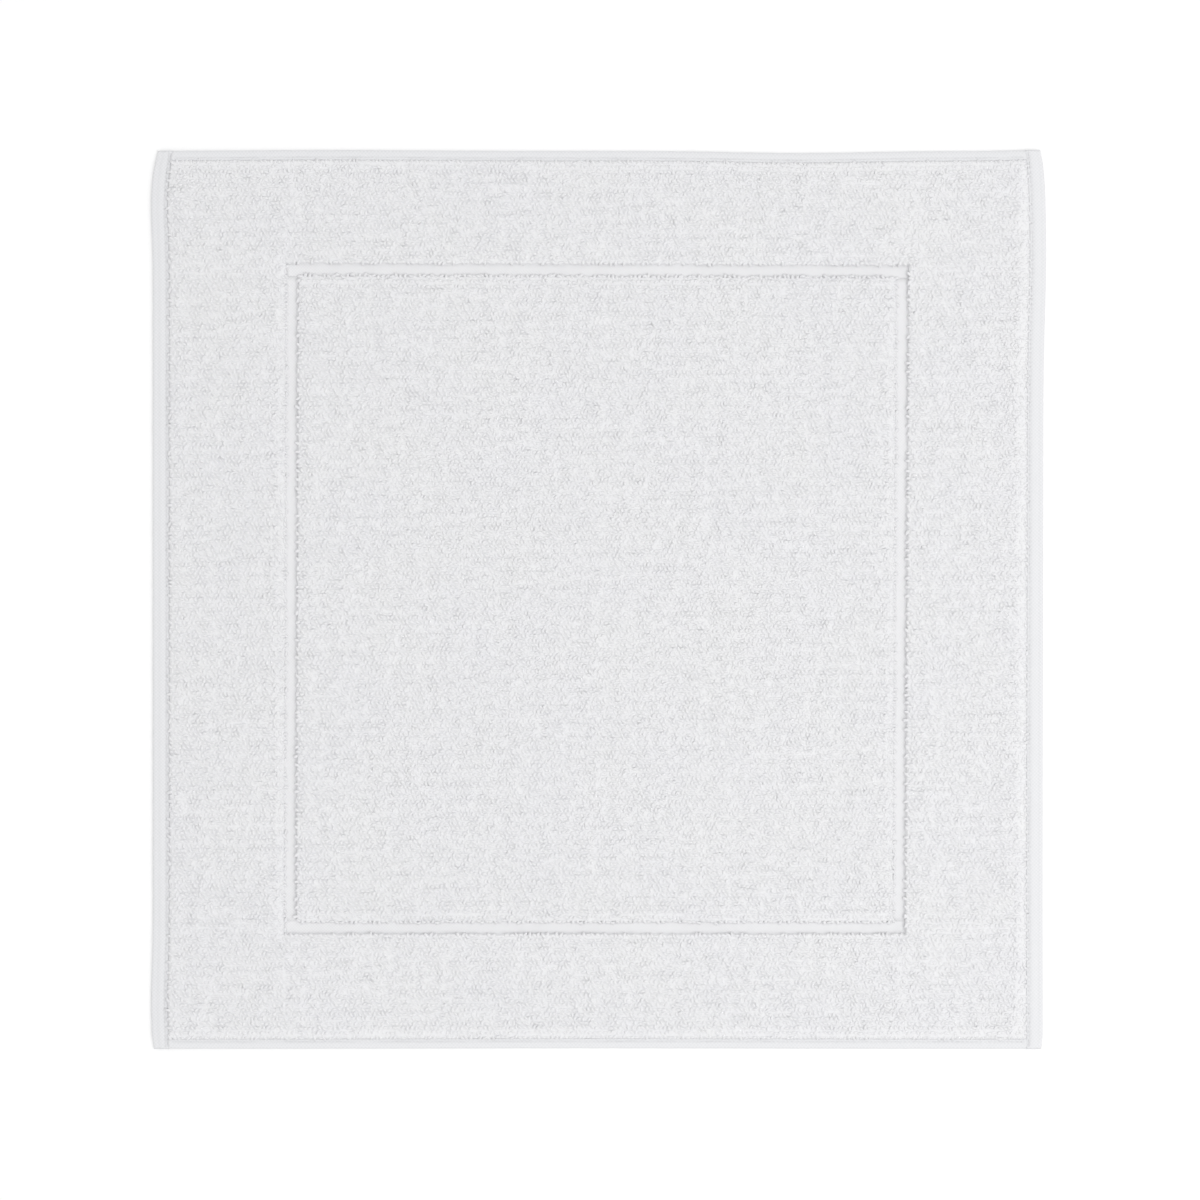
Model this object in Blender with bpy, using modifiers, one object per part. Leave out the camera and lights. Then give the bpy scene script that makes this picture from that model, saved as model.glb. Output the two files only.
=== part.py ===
"""Bath mat: a woven ground cloth with terry loop pile, a sunk flat-woven line and four sewn hems.

Units are metres. +Z is up, +X runs across the width (the weft) and +Y along the length (the warp).
The origin is the middle of the underside, on the floor.
"""

import math

import bmesh
import bpy

MM = 0.001

# Overall size, and where the sunk line lies inside the edges.
WIDTH = 595 * MM
LENGTH = 600 * MM
SIDE_BORDER = 90 * MM  # from a side edge to the line
END_BORDER = 76 * MM  # from an end edge to the line
LINE_WIDTH = 8 * MM

# Cloth thicknesses, from the floor up.
GROUND_THICK = 1.4 * MM  # the woven base
LINE_THICK = 1.5 * MM  # pile yarns woven flat onto the base
LOOP_HEIGHT = 6.3 * MM  # terry loops, from the base to their tips
PILE_ROUNDING = 2.0 * MM  # how the outermost loops fall away at a pile's edge
CLOTH_ROUNDING = 0.4 * MM  # the eased upper edges of flat cloth

# Hems: the bare edge of the cloth, turned under twice and sewn down.
HEM_CLOTH = 1.1 * MM  # one layer
SIDE_STITCH = 9.2 * MM  # from a side edge to its row of stitches
END_STITCH = 4.8 * MM  # from an end edge to its row of stitches
STITCH_LAND = 0.1 * MM  # flat cloth between a stitch's groove and the inner fold

# Sewing thread, pulled down into the cloth on both faces.
THREAD_DIAMETER = 0.4 * MM
NEEDLE_SINK = 0.1 * MM  # how deep the needle thread's axis lies below the hem's upper face
BOBBIN_LIFT = 0.05 * MM  # how far the bobbin thread stays above the floor
THREAD_END = 0.5 * MM  # how far a thread stops short of its hem's ends

CLEARANCE = 0.3 * MM  # between pieces that touch
ARC_STEPS = 8  # straight runs in a half circle
ROUNDING_STEPS = 3  # strips across a rounded edge
THREAD_FINENESS = 2  # a curve's bevel resolution: eight sides round a thread

# Heights and widths that follow from the sizes above.
PILE_FLOOR = GROUND_THICK + CLEARANCE
LAYER_PITCH = HEM_CLOTH + CLEARANCE
HEM_TOP = 2 * LAYER_PITCH + HEM_CLOTH
GROOVE_RADIUS = THREAD_DIAMETER / 2 + CLEARANCE
INNER_FOLD_RADIUS = (LAYER_PITCH + HEM_CLOTH) / 2
STITCH_INSET = INNER_FOLD_RADIUS + GROOVE_RADIUS + STITCH_LAND
SIDE_HEM_WIDTH = SIDE_STITCH + STITCH_INSET
END_HEM_WIDTH = END_STITCH + STITCH_INSET
NEEDLE_HEIGHT = HEM_TOP - NEEDLE_SINK
BOBBIN_HEIGHT = THREAD_DIAMETER / 2 + BOBBIN_LIFT
CLOTH_WIDTH = WIDTH - 2 * (SIDE_HEM_WIDTH + CLEARANCE)
CLOTH_LENGTH = LENGTH - 2 * (END_HEM_WIDTH + CLEARANCE)


def clear_scene():
    """Removes what the file opened with."""
    for obj in list(bpy.data.objects):
        bpy.data.objects.remove(obj, do_unlink=True)


def cotton(name, color, roughness):
    """A dull, undyed white textile."""
    material = bpy.data.materials.new(name)
    material.use_nodes = True
    shader = material.node_tree.nodes["Principled BSDF"]
    shader.inputs["Base Color"].default_value = (*color, 1.0)
    shader.inputs["Roughness"].default_value = roughness
    shader.inputs["Metallic"].default_value = 0.0
    return material


def empty(name, collection, parent=None, location=(0, 0, 0), turn=0.0):
    """A reference point that pieces are placed from, turned about +Z."""
    point = bpy.data.objects.new(name, None)
    point.parent = parent
    point.location = location
    point.rotation_euler.z = turn
    collection.objects.link(point)
    return point


def place(obj, collection, parent, material, location=(0, 0, 0), tilt=0.0):
    """Links a piece under its reference point and gives it its finish. The tilt is about local X."""
    obj.data.materials.append(material)
    obj.parent = parent
    obj.location = location
    obj.rotation_euler.x = tilt
    collection.objects.link(obj)
    return obj


def slab(name, size, rounding):
    """A box of the given size on its own middle, whose upper edges are rounded off."""
    mesh = bpy.data.meshes.new(name)
    shape = bmesh.new()
    bmesh.ops.create_cube(shape, size=1.0)
    bmesh.ops.scale(shape, vec=size, verts=shape.verts)
    weights = shape.edges.layers.float.new("bevel_weight_edge")
    for edge in shape.edges:
        edge[weights] = 1.0 if all(vert.co.z > 0 for vert in edge.verts) else 0.0
    shape.to_mesh(mesh)
    shape.free()
    obj = bpy.data.objects.new(name, mesh)
    bevel = obj.modifiers.new("rounded_upper_edges", "BEVEL")
    bevel.limit_method = "WEIGHT"
    bevel.width = rounding
    bevel.segments = ROUNDING_STEPS
    return obj


def arc(centre, radius, start, end):
    """Points on a circle from one angle to another, in degrees."""
    steps = max(3, round(ARC_STEPS * abs(end - start) / 180))
    angles = [math.radians(start + (end - start) * step / steps) for step in range(steps + 1)]
    return [(centre[0] + radius * math.cos(a), centre[1] + radius * math.sin(a)) for a in angles]


def hem_outline(stitch, width):
    """The outline across a double-turned hem: x runs inwards from the mat's edge and y upwards.

    The cloth comes out along the top, folds down around the edge, runs back along the floor, folds up
    and ends inside, so that three layers lie on each other. A half-round groove above and below
    holds each thread.
    """
    half = HEM_CLOTH / 2
    low = half
    middle = low + LAYER_PITCH
    outer_fold = (LAYER_PITCH + half, middle)
    inner_fold = (width - INNER_FOLD_RADIUS, low + LAYER_PITCH / 2)
    needle_angle = math.degrees(math.asin((HEM_TOP - NEEDLE_HEIGHT) / GROOVE_RADIUS))
    bobbin_angle = math.degrees(math.asin(BOBBIN_HEIGHT / GROOVE_RADIUS))
    points = [(width, HEM_TOP)]
    points += arc((stitch, NEEDLE_HEIGHT), GROOVE_RADIUS, needle_angle, -180 - needle_angle)
    points += arc(outer_fold, LAYER_PITCH + half, 90, 270)
    points += arc((stitch, BOBBIN_HEIGHT), GROOVE_RADIUS, 180 + bobbin_angle, -bobbin_angle)
    points += arc(inner_fold, INNER_FOLD_RADIUS, -90, 90)
    points += [(outer_fold[0], middle + half), (outer_fold[0], middle - half)]
    points += arc(inner_fold, INNER_FOLD_RADIUS - HEM_CLOTH, 90, -90)
    points += arc(outer_fold, LAYER_PITCH - half, 270, 90)
    points.append((width, HEM_TOP - HEM_CLOTH))
    return points


def hem(name, stitch, width, length):
    """A hem's outline, extruded along the mat's edge."""
    curve = bpy.data.curves.new(name, "CURVE")
    curve.dimensions = "2D"
    curve.fill_mode = "BOTH"
    curve.extrude = length / 2
    outline = hem_outline(stitch, width)
    spline = curve.splines.new("POLY")
    spline.points.add(len(outline) - 1)
    for point, (x, y) in zip(spline.points, outline):
        point.co = (x, y, 0.0, 1.0)
    spline.use_cyclic_u = True
    return bpy.data.objects.new(name, curve)


def thread(name, length):
    """A straight sewing thread along its own Z axis."""
    curve = bpy.data.curves.new(name, "CURVE")
    curve.dimensions = "3D"
    curve.bevel_depth = THREAD_DIAMETER / 2
    curve.bevel_resolution = THREAD_FINENESS
    curve.use_fill_caps = True
    spline = curve.splines.new("POLY")
    spline.points.add(1)
    spline.points[0].co = (0.0, 0.0, -length / 2, 1.0)
    spline.points[1].co = (0.0, 0.0, length / 2, 1.0)
    return bpy.data.objects.new(name, curve)


def build_middle(collection, origin, finishes):
    """The ground cloth, and the pile inside the sunk line."""
    ground = slab("ground_cloth", (CLOTH_WIDTH, CLOTH_LENGTH, GROUND_THICK), CLOTH_ROUNDING)
    place(ground, collection, origin, finishes["ground"], (0, 0, GROUND_THICK / 2))

    inner_width = WIDTH - 2 * (SIDE_BORDER + LINE_WIDTH + CLEARANCE)
    inner_length = LENGTH - 2 * (END_BORDER + LINE_WIDTH + CLEARANCE)
    centre = slab("centre_pile", (inner_width, inner_length, LOOP_HEIGHT), PILE_ROUNDING)
    place(centre, collection, origin, finishes["pile"], (0, 0, PILE_FLOOR + LOOP_HEIGHT / 2))


def build_side(collection, edge, finishes, side, sizes):
    """One edge of the mat: its hem, two threads, border pile and stretch of the sunk line."""
    upright = math.radians(90)
    hem_piece = hem(f"{sizes['hem']}_{side}", sizes["stitch"], sizes["hem_width"], sizes["hem_length"])
    place(hem_piece, collection, edge, finishes["hem"], tilt=upright)

    thread_length = sizes["hem_length"] - 2 * THREAD_END
    for kind, height in (("needle", NEEDLE_HEIGHT), ("bobbin", BOBBIN_HEIGHT)):
        sewing = thread(f"{kind}_thread_{side}", thread_length)
        place(sewing, collection, edge, finishes["thread"], (sizes["stitch"], 0, height), upright)

    pile_start = sizes["hem_width"] + CLEARANCE
    pile_end = sizes["border"] - CLEARANCE
    pile = slab(
        f"border_pile_{side}", (pile_end - pile_start, sizes["pile_length"], LOOP_HEIGHT), PILE_ROUNDING
    )
    pile_middle = ((pile_start + pile_end) / 2, 0, PILE_FLOOR + LOOP_HEIGHT / 2)
    place(pile, collection, edge, finishes["pile"], pile_middle)

    line = slab(f"flat_line_{side}", (LINE_WIDTH, sizes["line_length"], LINE_THICK), CLOTH_ROUNDING)
    line_middle = (sizes["border"] + LINE_WIDTH / 2, 0, PILE_FLOOR + LINE_THICK / 2)
    place(line, collection, edge, finishes["line"], line_middle)


def build_mat():
    """The whole mat. Ends are named front (-Y) and back (+Y), sides left (-X) and right (+X)."""
    clear_scene()
    collection = bpy.data.collections.new("bath_mat")
    bpy.context.scene.collection.children.link(collection)
    origin = empty("mat_origin", collection)
    finishes = {
        "ground": cotton("ground_weave", (0.80, 0.80, 0.81), 0.90),
        "pile": cotton("terry_loops", (0.82, 0.82, 0.83), 0.95),
        "line": cotton("flat_weave", (0.84, 0.84, 0.85), 0.88),
        "hem": cotton("hem_cloth", (0.83, 0.84, 0.86), 0.85),
        "thread": cotton("sewing_thread", (0.86, 0.86, 0.87), 0.60),
    }
    build_middle(collection, origin, finishes)

    end_pieces = {
        "hem": "end_hem",
        "stitch": END_STITCH,
        "hem_width": END_HEM_WIDTH,
        "hem_length": CLOTH_WIDTH,
        "border": END_BORDER,
        "pile_length": CLOTH_WIDTH,
        "line_length": WIDTH - 2 * SIDE_BORDER,
    }
    side_pieces = {
        "hem": "side_hem",
        "stitch": SIDE_STITCH,
        "hem_width": SIDE_HEM_WIDTH,
        "hem_length": LENGTH,
        "border": SIDE_BORDER,
        "pile_length": LENGTH - 2 * END_BORDER,
        "line_length": LENGTH - 2 * (END_BORDER + LINE_WIDTH + CLEARANCE),
    }
    edges = (
        ("left", (-WIDTH / 2, 0, 0), 0, side_pieces),
        ("front", (0, -LENGTH / 2, 0), 90, end_pieces),
        ("right", (WIDTH / 2, 0, 0), 180, side_pieces),
        ("back", (0, LENGTH / 2, 0), 270, end_pieces),
    )
    for side, location, turn, sizes in edges:
        edge = empty(f"{side}_edge", collection, origin, location, math.radians(turn))
        build_side(collection, edge, finishes, side, sizes)


build_mat()
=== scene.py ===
# %% [markdown]
# # A terry bath mat
# A bath mat is one woven cloth. Two sets of yarn cross to make a thin ground, and a third set, the pile
# yarns, is thrown up in loops that drink the water. Where the pile yarns are woven flat instead, the
# surface sinks and draws a line. The bare edges are turned under twice and sewn down.
#
# The CAD model already settles every size, so this lesson only dresses it: it reads the places of the
# plain solids and puts cloth, loops and stitches there.

import bpy
import numpy as np
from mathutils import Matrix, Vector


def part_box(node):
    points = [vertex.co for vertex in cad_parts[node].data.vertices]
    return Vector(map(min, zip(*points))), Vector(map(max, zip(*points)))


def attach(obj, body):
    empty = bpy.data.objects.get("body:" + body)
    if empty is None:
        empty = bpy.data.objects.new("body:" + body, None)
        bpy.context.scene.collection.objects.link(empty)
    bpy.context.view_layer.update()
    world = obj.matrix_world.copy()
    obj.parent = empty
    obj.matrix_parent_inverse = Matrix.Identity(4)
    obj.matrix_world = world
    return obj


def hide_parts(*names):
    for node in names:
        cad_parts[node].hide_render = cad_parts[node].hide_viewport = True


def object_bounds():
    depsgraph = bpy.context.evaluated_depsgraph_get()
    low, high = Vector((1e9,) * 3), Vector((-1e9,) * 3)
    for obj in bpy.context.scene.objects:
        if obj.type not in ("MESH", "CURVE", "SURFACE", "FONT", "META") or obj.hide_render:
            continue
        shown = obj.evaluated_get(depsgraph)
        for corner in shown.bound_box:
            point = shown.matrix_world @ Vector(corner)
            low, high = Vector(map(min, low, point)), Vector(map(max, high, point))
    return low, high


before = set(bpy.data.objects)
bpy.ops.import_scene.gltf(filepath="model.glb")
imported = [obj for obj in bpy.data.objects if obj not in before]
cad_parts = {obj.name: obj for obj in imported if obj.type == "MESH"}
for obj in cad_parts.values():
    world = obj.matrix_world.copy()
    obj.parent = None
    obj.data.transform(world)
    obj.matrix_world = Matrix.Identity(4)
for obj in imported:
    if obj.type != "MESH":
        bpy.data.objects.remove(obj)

MM = 0.001
cad_box = [list(corner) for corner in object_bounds()]
print("CAD box in mm:", [[round(v / MM, 1) for v in corner] for corner in cad_box])

# %% [markdown]
# ## Where things lie
# Every place comes from the boxes of the CAD nodes. A mat has four edges that are made alike, so a
# measure is kept once for the sides (left and right) and once for the ends (front and back).

# %% Read the layout
HALF_WIDTH = cad_box[1][0]
HALF_LENGTH = cad_box[1][1]
SIDES = ("left", "right", "front", "back")


def span(node, axis):
    """A node's lowest and highest place along one axis, 0 for X, 1 for Y and 2 for Z."""
    low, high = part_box(node)
    return low[axis], high[axis]


GROUND_TOP = span("ground_cloth", 2)[1]
PILE_TOP = span("centre_pile", 2)[1]
LINE_TOP = span("flat_line_left", 2)[1]
HEM_TOP = span("side_hem_left", 2)[1]
SIDE_HEM = span("side_hem_left", 0)[1] + HALF_WIDTH
END_HEM = span("end_hem_front", 1)[1] + HALF_LENGTH
SIDE_STITCH = np.mean(span("needle_thread_left", 0)) + HALF_WIDTH
END_STITCH = np.mean(span("needle_thread_front", 1)) + HALF_LENGTH
LINE_OUT_X, LINE_IN_X = (-v for v in span("flat_line_left", 0))
LINE_OUT_Y, LINE_IN_Y = (-v for v in span("flat_line_front", 1))
LINE_WIDTH = LINE_OUT_X - LINE_IN_X
THREAD = np.ptp(span("needle_thread_left", 2)) / 2
MEASURES = {"side hem": SIDE_HEM, "end hem": END_HEM, "pile top": PILE_TOP, "line top": LINE_TOP}
for label, value in MEASURES.items():
    print(f"{label}: {value / MM:.1f} mm")

# %% [markdown]
# ## Cloth never lies quite straight
# A sewn edge bulges a little where it was pushed under the needle and draws in at the corners, and a
# woven line drifts when the cloth is handled. One smooth shift in the plane, the same for every piece,
# keeps the pieces together: whatever lies at a place moves with that place.

# %% Shift in the plane
def near(value, place, reach):
    """A bell that is 1 at the place and dies out over the reach."""
    return np.exp(-(((value - place) / reach) ** 2))


WAVE_SPREAD = (0.7, 1.4)  # shortest and longest wave, as shares of the wavelength asked for


def ripples(x, y, wavelength, seed, waves=8):
    """A smooth random field of about -1 to 1: plane waves in seeded directions, added up."""
    rng = np.random.default_rng(seed)
    heading = rng.uniform(0, 2 * np.pi, waves)
    pace = 2 * np.pi / (wavelength * rng.uniform(*WAVE_SPREAD, waves))
    start = rng.uniform(0, 2 * np.pi, waves)
    travel = np.multiply.outer(x, np.cos(heading)) + np.multiply.outer(y, np.sin(heading))
    return np.cos(travel * pace + start).sum(-1) / np.sqrt(2 * waves)


EDGE_REACH = 45 * MM  # how far in from an edge its bulges are felt
LINE_REACH = 28 * MM  # and how far to either side of the line its drift is
# Each bulge: how far the edge moves in mm, its place along the edge in metres and its reach in metres.
LEFT_BULGES = ((2.6, 0.305, 0.020), (-1.3, 0.266, 0.028), (-1.2, -0.268, 0.030))
RIGHT_BULGES = ((1.9, 0.235, 0.060), (-1.6, 0.305, 0.020), (-0.5, -0.200, 0.180))
FRONT_BULGES = ((0.4, 0.000, 0.150),)
BACK_BULGES = ((-1.4, 0.135, 0.060), (0.6, -0.180, 0.080), (0.7, 0.290, 0.020))
# Each stretch of the line: how far its middle drifts in mm, and how much more its back or right end does.
LEFT_DRIFT = (-1.4, 0.7)
RIGHT_DRIFT = (-1.4, 1.2)
BACK_DRIFT = (0.1, -0.7)
FRONT_DRIFT = (1.1, 0.0)


def bulging(bulges, along):
    """The bulges of one edge, added up, at places along it."""
    return sum(size * near(along, place, reach) for size, place, reach in bulges)


def drifting(drift, share):
    """The drift of one stretch of the line; share runs from -1 to 1 along it."""
    return drift[0] + drift[1] * share


def shifted(x, y):
    """Where the point (x, y) of a perfectly straight mat really lies."""
    to_left = near(x, -HALF_WIDTH, EDGE_REACH)
    to_right = near(x, HALF_WIDTH, EDGE_REACH)
    to_front = near(y, -HALF_LENGTH, EDGE_REACH)
    to_back = near(y, HALF_LENGTH, EDGE_REACH)
    dx = bulging(LEFT_BULGES, y) * to_left + bulging(RIGHT_BULGES, y) * to_right
    dy = bulging(FRONT_BULGES, x) * to_front + bulging(BACK_BULGES, x) * to_back
    dx += drifting(LEFT_DRIFT, y / LINE_OUT_Y) * near(x, -LINE_IN_X, LINE_REACH)
    dx += drifting(RIGHT_DRIFT, y / LINE_OUT_Y) * near(x, LINE_OUT_X, LINE_REACH)
    dy += drifting(BACK_DRIFT, x / LINE_OUT_X) * near(y, LINE_OUT_Y, LINE_REACH)
    dy += drifting(FRONT_DRIFT, x / LINE_OUT_X) * near(y, -LINE_OUT_Y, LINE_REACH)
    return x + dx * MM, y + dy * MM


corner = np.array([-HALF_WIDTH, HALF_LENGTH])
print("the back left corner shifts by", np.round((np.array(shifted(*corner)) - corner) / MM, 2), "mm")

# %% [markdown]
# ## From arrays to a mesh
# All pieces are surfaces worked out with numpy. This helper takes points, four-cornered faces and
# maps, turns the faces outwards if the enclosed volume comes out negative, and hands them to Blender.

# %% Make a mesh
def make_piece(name, shape, stands_for, finish):
    """A finished piece at the origin. A shape is points, faces, a UV for every corner by map name, and
    which faces are shaded smooth."""
    points, faces, maps, is_smooth = shape
    corners = points[faces]
    volume = np.einsum("ij,ij->", corners[:, 0], np.cross(corners[:, 1], corners[:, 2]))
    volume += np.einsum("ij,ij->", corners[:, 0], np.cross(corners[:, 2], corners[:, 3]))
    order = slice(None) if volume > 0 else slice(None, None, -1)
    faces = faces[:, order]
    mesh = bpy.data.meshes.new(name)
    mesh.vertices.add(len(points))
    mesh.vertices.foreach_set("co", points.astype(np.float32).ravel())
    mesh.loops.add(faces.size)
    mesh.loops.foreach_set("vertex_index", faces.astype(np.int32).ravel())
    mesh.polygons.add(len(faces))
    mesh.polygons.foreach_set("loop_start", np.arange(0, faces.size, 4, dtype=np.int32))
    mesh.polygons.foreach_set("use_smooth", is_smooth)
    for map_name, uv in maps.items():
        layer = mesh.uv_layers.new(name=map_name)
        layer.uv.foreach_set("vector", uv[:, order].astype(np.float32).ravel())
    mesh.update(calc_edges=True)
    mesh.validate()
    mesh.materials.append(finish)
    piece = bpy.data.objects.new(name, mesh)
    bpy.context.scene.collection.objects.link(piece)
    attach(piece, "root")
    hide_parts(*stands_for)
    return piece


FACE_AREA = (0.01, 0.06, 0.49, 0.99)  # where a cloth's parts lie on its map for baking
BACK_AREA = (0.51, 0.06, 0.99, 0.99)
RIM_AREA = (0.01, 0.01, 0.99, 0.04)


def into(area, uv):
    """Squeezes a map into a rectangle: its left, low, right and high ends."""
    low, high = np.array(area[:2]), np.array(area[2:])
    return low + (high - low) * uv


def closed_cloth(face, back, across, along):
    """Joins a cloth's two faces, grids of points of one shape, into a closed body with rims.

    across and along are the two distances on the cloth, in millimetres, which its weave is drawn on.
    The rim is shaded flat, so that it doesn't darken the faces.
    """
    rows, columns = face.shape[:2]
    number = np.arange(rows * columns).reshape(rows, columns)
    quad = np.stack([number[:-1, :-1], number[1:, :-1], number[1:, 1:], number[:-1, 1:]], -1).reshape(-1, 4)
    ring = np.concatenate([number[:-1, 0], number[-1, :-1], number[:0:-1, -1], number[0, :0:-1]])
    after = np.roll(ring, -1)
    below = rows * columns
    rim = np.stack([after, ring, ring + below, after + below], -1)
    points = np.concatenate([face.reshape(-1, 3), back.reshape(-1, 3)])
    faces = np.concatenate([quad, quad[:, ::-1] + below, rim])
    places = np.stack(np.broadcast_arrays(across, along), -1).reshape(-1, 2)
    grid = np.stack(np.meshgrid(np.linspace(0, 1, rows), np.linspace(0, 1, columns), indexing="ij"), -1)
    grid = grid.reshape(-1, 2)
    step = np.arange(len(ring))[:, None] + np.array([1, 0, 0, 1])
    strip = np.stack(np.broadcast_arrays(step / len(ring), [0, 0, 1, 1]), -1)
    bake = [
        into(FACE_AREA, grid[quad]),
        into(BACK_AREA, grid[quad[:, ::-1]]),
        into(RIM_AREA, strip),
    ]
    maps = {"cloth": np.concatenate([places, places])[faces], "OFBake": np.concatenate(bake)}
    return points, faces, maps, np.arange(len(faces)) < 2 * len(quad)


print("helpers ready")

# %% [markdown]
# ## Cotton, six ways
# Everything here is bleached cotton, yet no two parts look the same, because the yarn is held
# differently. Loops are soft and full of fibre ends: very matt, with a faint sheen at a grazing angle.
# Where they press together low down, the twist is lost and only fluff shows, and it is painted a touch
# darker than the loops, as painted shade for lying low among them. The ground, the flat weave and the hems
# are tight and smooth, with no gaps of shade to break them up; their weave is painted lighter on its humps
# and darker in its hollows, as painted shade. The sewing thread is twisted hard and shines slightly.
#
# One function turns hex colours to linear light, and one adds any node with its settings and links.

# %% Node helpers
def linear(hex_colour):
    """An sRGB hex colour as linear RGBA."""
    channels = np.array([int(hex_colour[i : i + 2], 16) for i in (1, 3, 5)]) / 255
    bent = np.where(channels <= 0.04045, channels / 12.92, ((channels + 0.055) / 1.055) ** 2.4)
    return (*bent.tolist(), 1.0)


def add(tree, kind, inputs=None, **settings):
    """Adds a node. An input is a plain value, or an output socket to link from."""
    node = tree.nodes.new(kind)
    for name, value in settings.items():
        setattr(node, name, value)
    for name, value in (inputs or {}).items():
        if isinstance(value, bpy.types.NodeSocket):
            tree.links.new(value, node.inputs[name])
        else:
            node.inputs[name].default_value = value
    return node


def new_finish(name):
    """An empty material, and its node tree."""
    material = bpy.data.materials.new(name)
    material.use_nodes = True
    material.node_tree.nodes.clear()
    return material, material.node_tree


COTTON_IOR = 1.53  # cellulose

# %% [markdown]
# ### Terry loops
# Combed cotton in a soft two-ply twist. The colour wavers slightly from loop to loop as painted light and
# shade, for loops that lie open and loops in the shade of others, and again over several centimetres as
# painted light and shade, where the pile was stroked and its fibres catch the light their own way.
# The ply shows as slanting grooves. They are drawn about twice as far apart as in real yarn, so that
# they still show from nearby.

# %% Terry cotton
PLY_PITCH = 1.8  # mm along the yarn
LOOP_SHADE_PATCH = 4 * MM  # the size of the patches of painted light and shade, about one loop
STROKED_SHADE_PATCH = 60 * MM  # and of the broad patches of painted light and shade, where the pile was stroked
FIBRE_CLUMP = 1.2 * MM


def terry_cotton(name, dark, light, ply_depth):
    """Soft twisted cotton, drawn on the yarn map: U runs along the yarn in mm and V once around it."""
    material, tree = new_finish(name)
    place = add(tree, "ShaderNodeTexCoord").outputs["Object"]
    yarn = add(tree, "ShaderNodeUVMap", uv_map="yarn").outputs["UV"]
    # Painted light and shade: the colour goes lighter and darker from loop to loop and in broad patches.
    loop_shade = add(tree, "ShaderNodeTexNoise", {"Vector": place, "Scale": 1 / LOOP_SHADE_PATCH, "Detail": 1.0})
    stroked_shade = add(tree, "ShaderNodeTexNoise", {"Vector": place, "Scale": 1 / STROKED_SHADE_PATCH, "Detail": 2.0})
    both_tones = {0: loop_shade.outputs["Fac"], 1: stroked_shade.outputs["Fac"]}
    tone = add(tree, "ShaderNodeMath", both_tones, operation="ADD")
    share = add(tree, "ShaderNodeMapRange", {"Value": tone.outputs[0], "From Min": 0.75, "From Max": 1.25})
    colour = add(
        tree,
        "ShaderNodeMix",
        {"Factor": share.outputs["Result"], "A": linear(dark), "B": linear(light)},
        data_type="RGBA",
    )
    split = add(tree, "ShaderNodeSeparateXYZ", {"Vector": yarn})
    turns = add(tree, "ShaderNodeMath", {0: split.outputs["X"], 1: 1 / PLY_PITCH}, operation="MULTIPLY")
    slant = add(tree, "ShaderNodeMath", {0: turns.outputs[0], 1: split.outputs["Y"]}, operation="ADD")
    phase = add(tree, "ShaderNodeMath", {0: slant.outputs[0], 1: 2 * np.pi}, operation="MULTIPLY")
    ply = add(tree, "ShaderNodeMath", {0: phase.outputs[0]}, operation="SINE")
    fluff = add(tree, "ShaderNodeTexNoise", {"Vector": place, "Scale": 1 / FIBRE_CLUMP, "Detail": 1.0})
    ply_and_fluff = {0: ply.outputs[0], 1: ply_depth, 2: fluff.outputs["Fac"]}
    height = add(tree, "ShaderNodeMath", ply_and_fluff, operation="MULTIPLY_ADD")
    bump = add(tree, "ShaderNodeBump", {"Height": height.outputs[0], "Strength": 0.5, "Distance": 0.3 * MM})
    shader = add(
        tree,
        "ShaderNodeBsdfPrincipled",
        {
            "Base Color": colour.outputs["Result"],
            "Normal": bump.outputs["Normal"],
            "Roughness": 0.95,
            "IOR": COTTON_IOR,
            "Specular IOR Level": 0.2,
            "Sheen Weight": 0.15,
            "Sheen Roughness": 0.5,
        },
    )
    add(tree, "ShaderNodeOutputMaterial", {"Surface": shader.outputs["BSDF"]})
    return material


TERRY = terry_cotton("terry_cotton_soft_twist", "#EAEAEC", "#EBEBEC", 0.4)
# The fluff is a shaded copy of the loops' cotton: a touch darker, as painted shade where it lies low.
SHADED_FLUFF = terry_cotton("terry_cotton_pressed_fluff_painted_shade", "#E8E8EA", "#E9E9EA", 0.0)
print("made", TERRY.name, SHADED_FLUFF.name)

# %% [markdown]
# ### Woven cotton and sewing thread
# Plain weave: each yarn goes over one and under the next. As a height that is one wave across the
# cloth times one wave along it, which gives a chequer of small rounded humps. The real yarns lie about
# 0.6 mm apart. They are drawn 1.0 to 1.2 mm apart, so that the cloth still reads as woven from nearby.
# Sewing thread takes the same pattern at 0.5 mm, where its hard twist shows as small humps too.

# %% Woven cotton
SLUB_PER_MM = 0.25  # thick and thin places in the yarn, about 4 mm long


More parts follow.
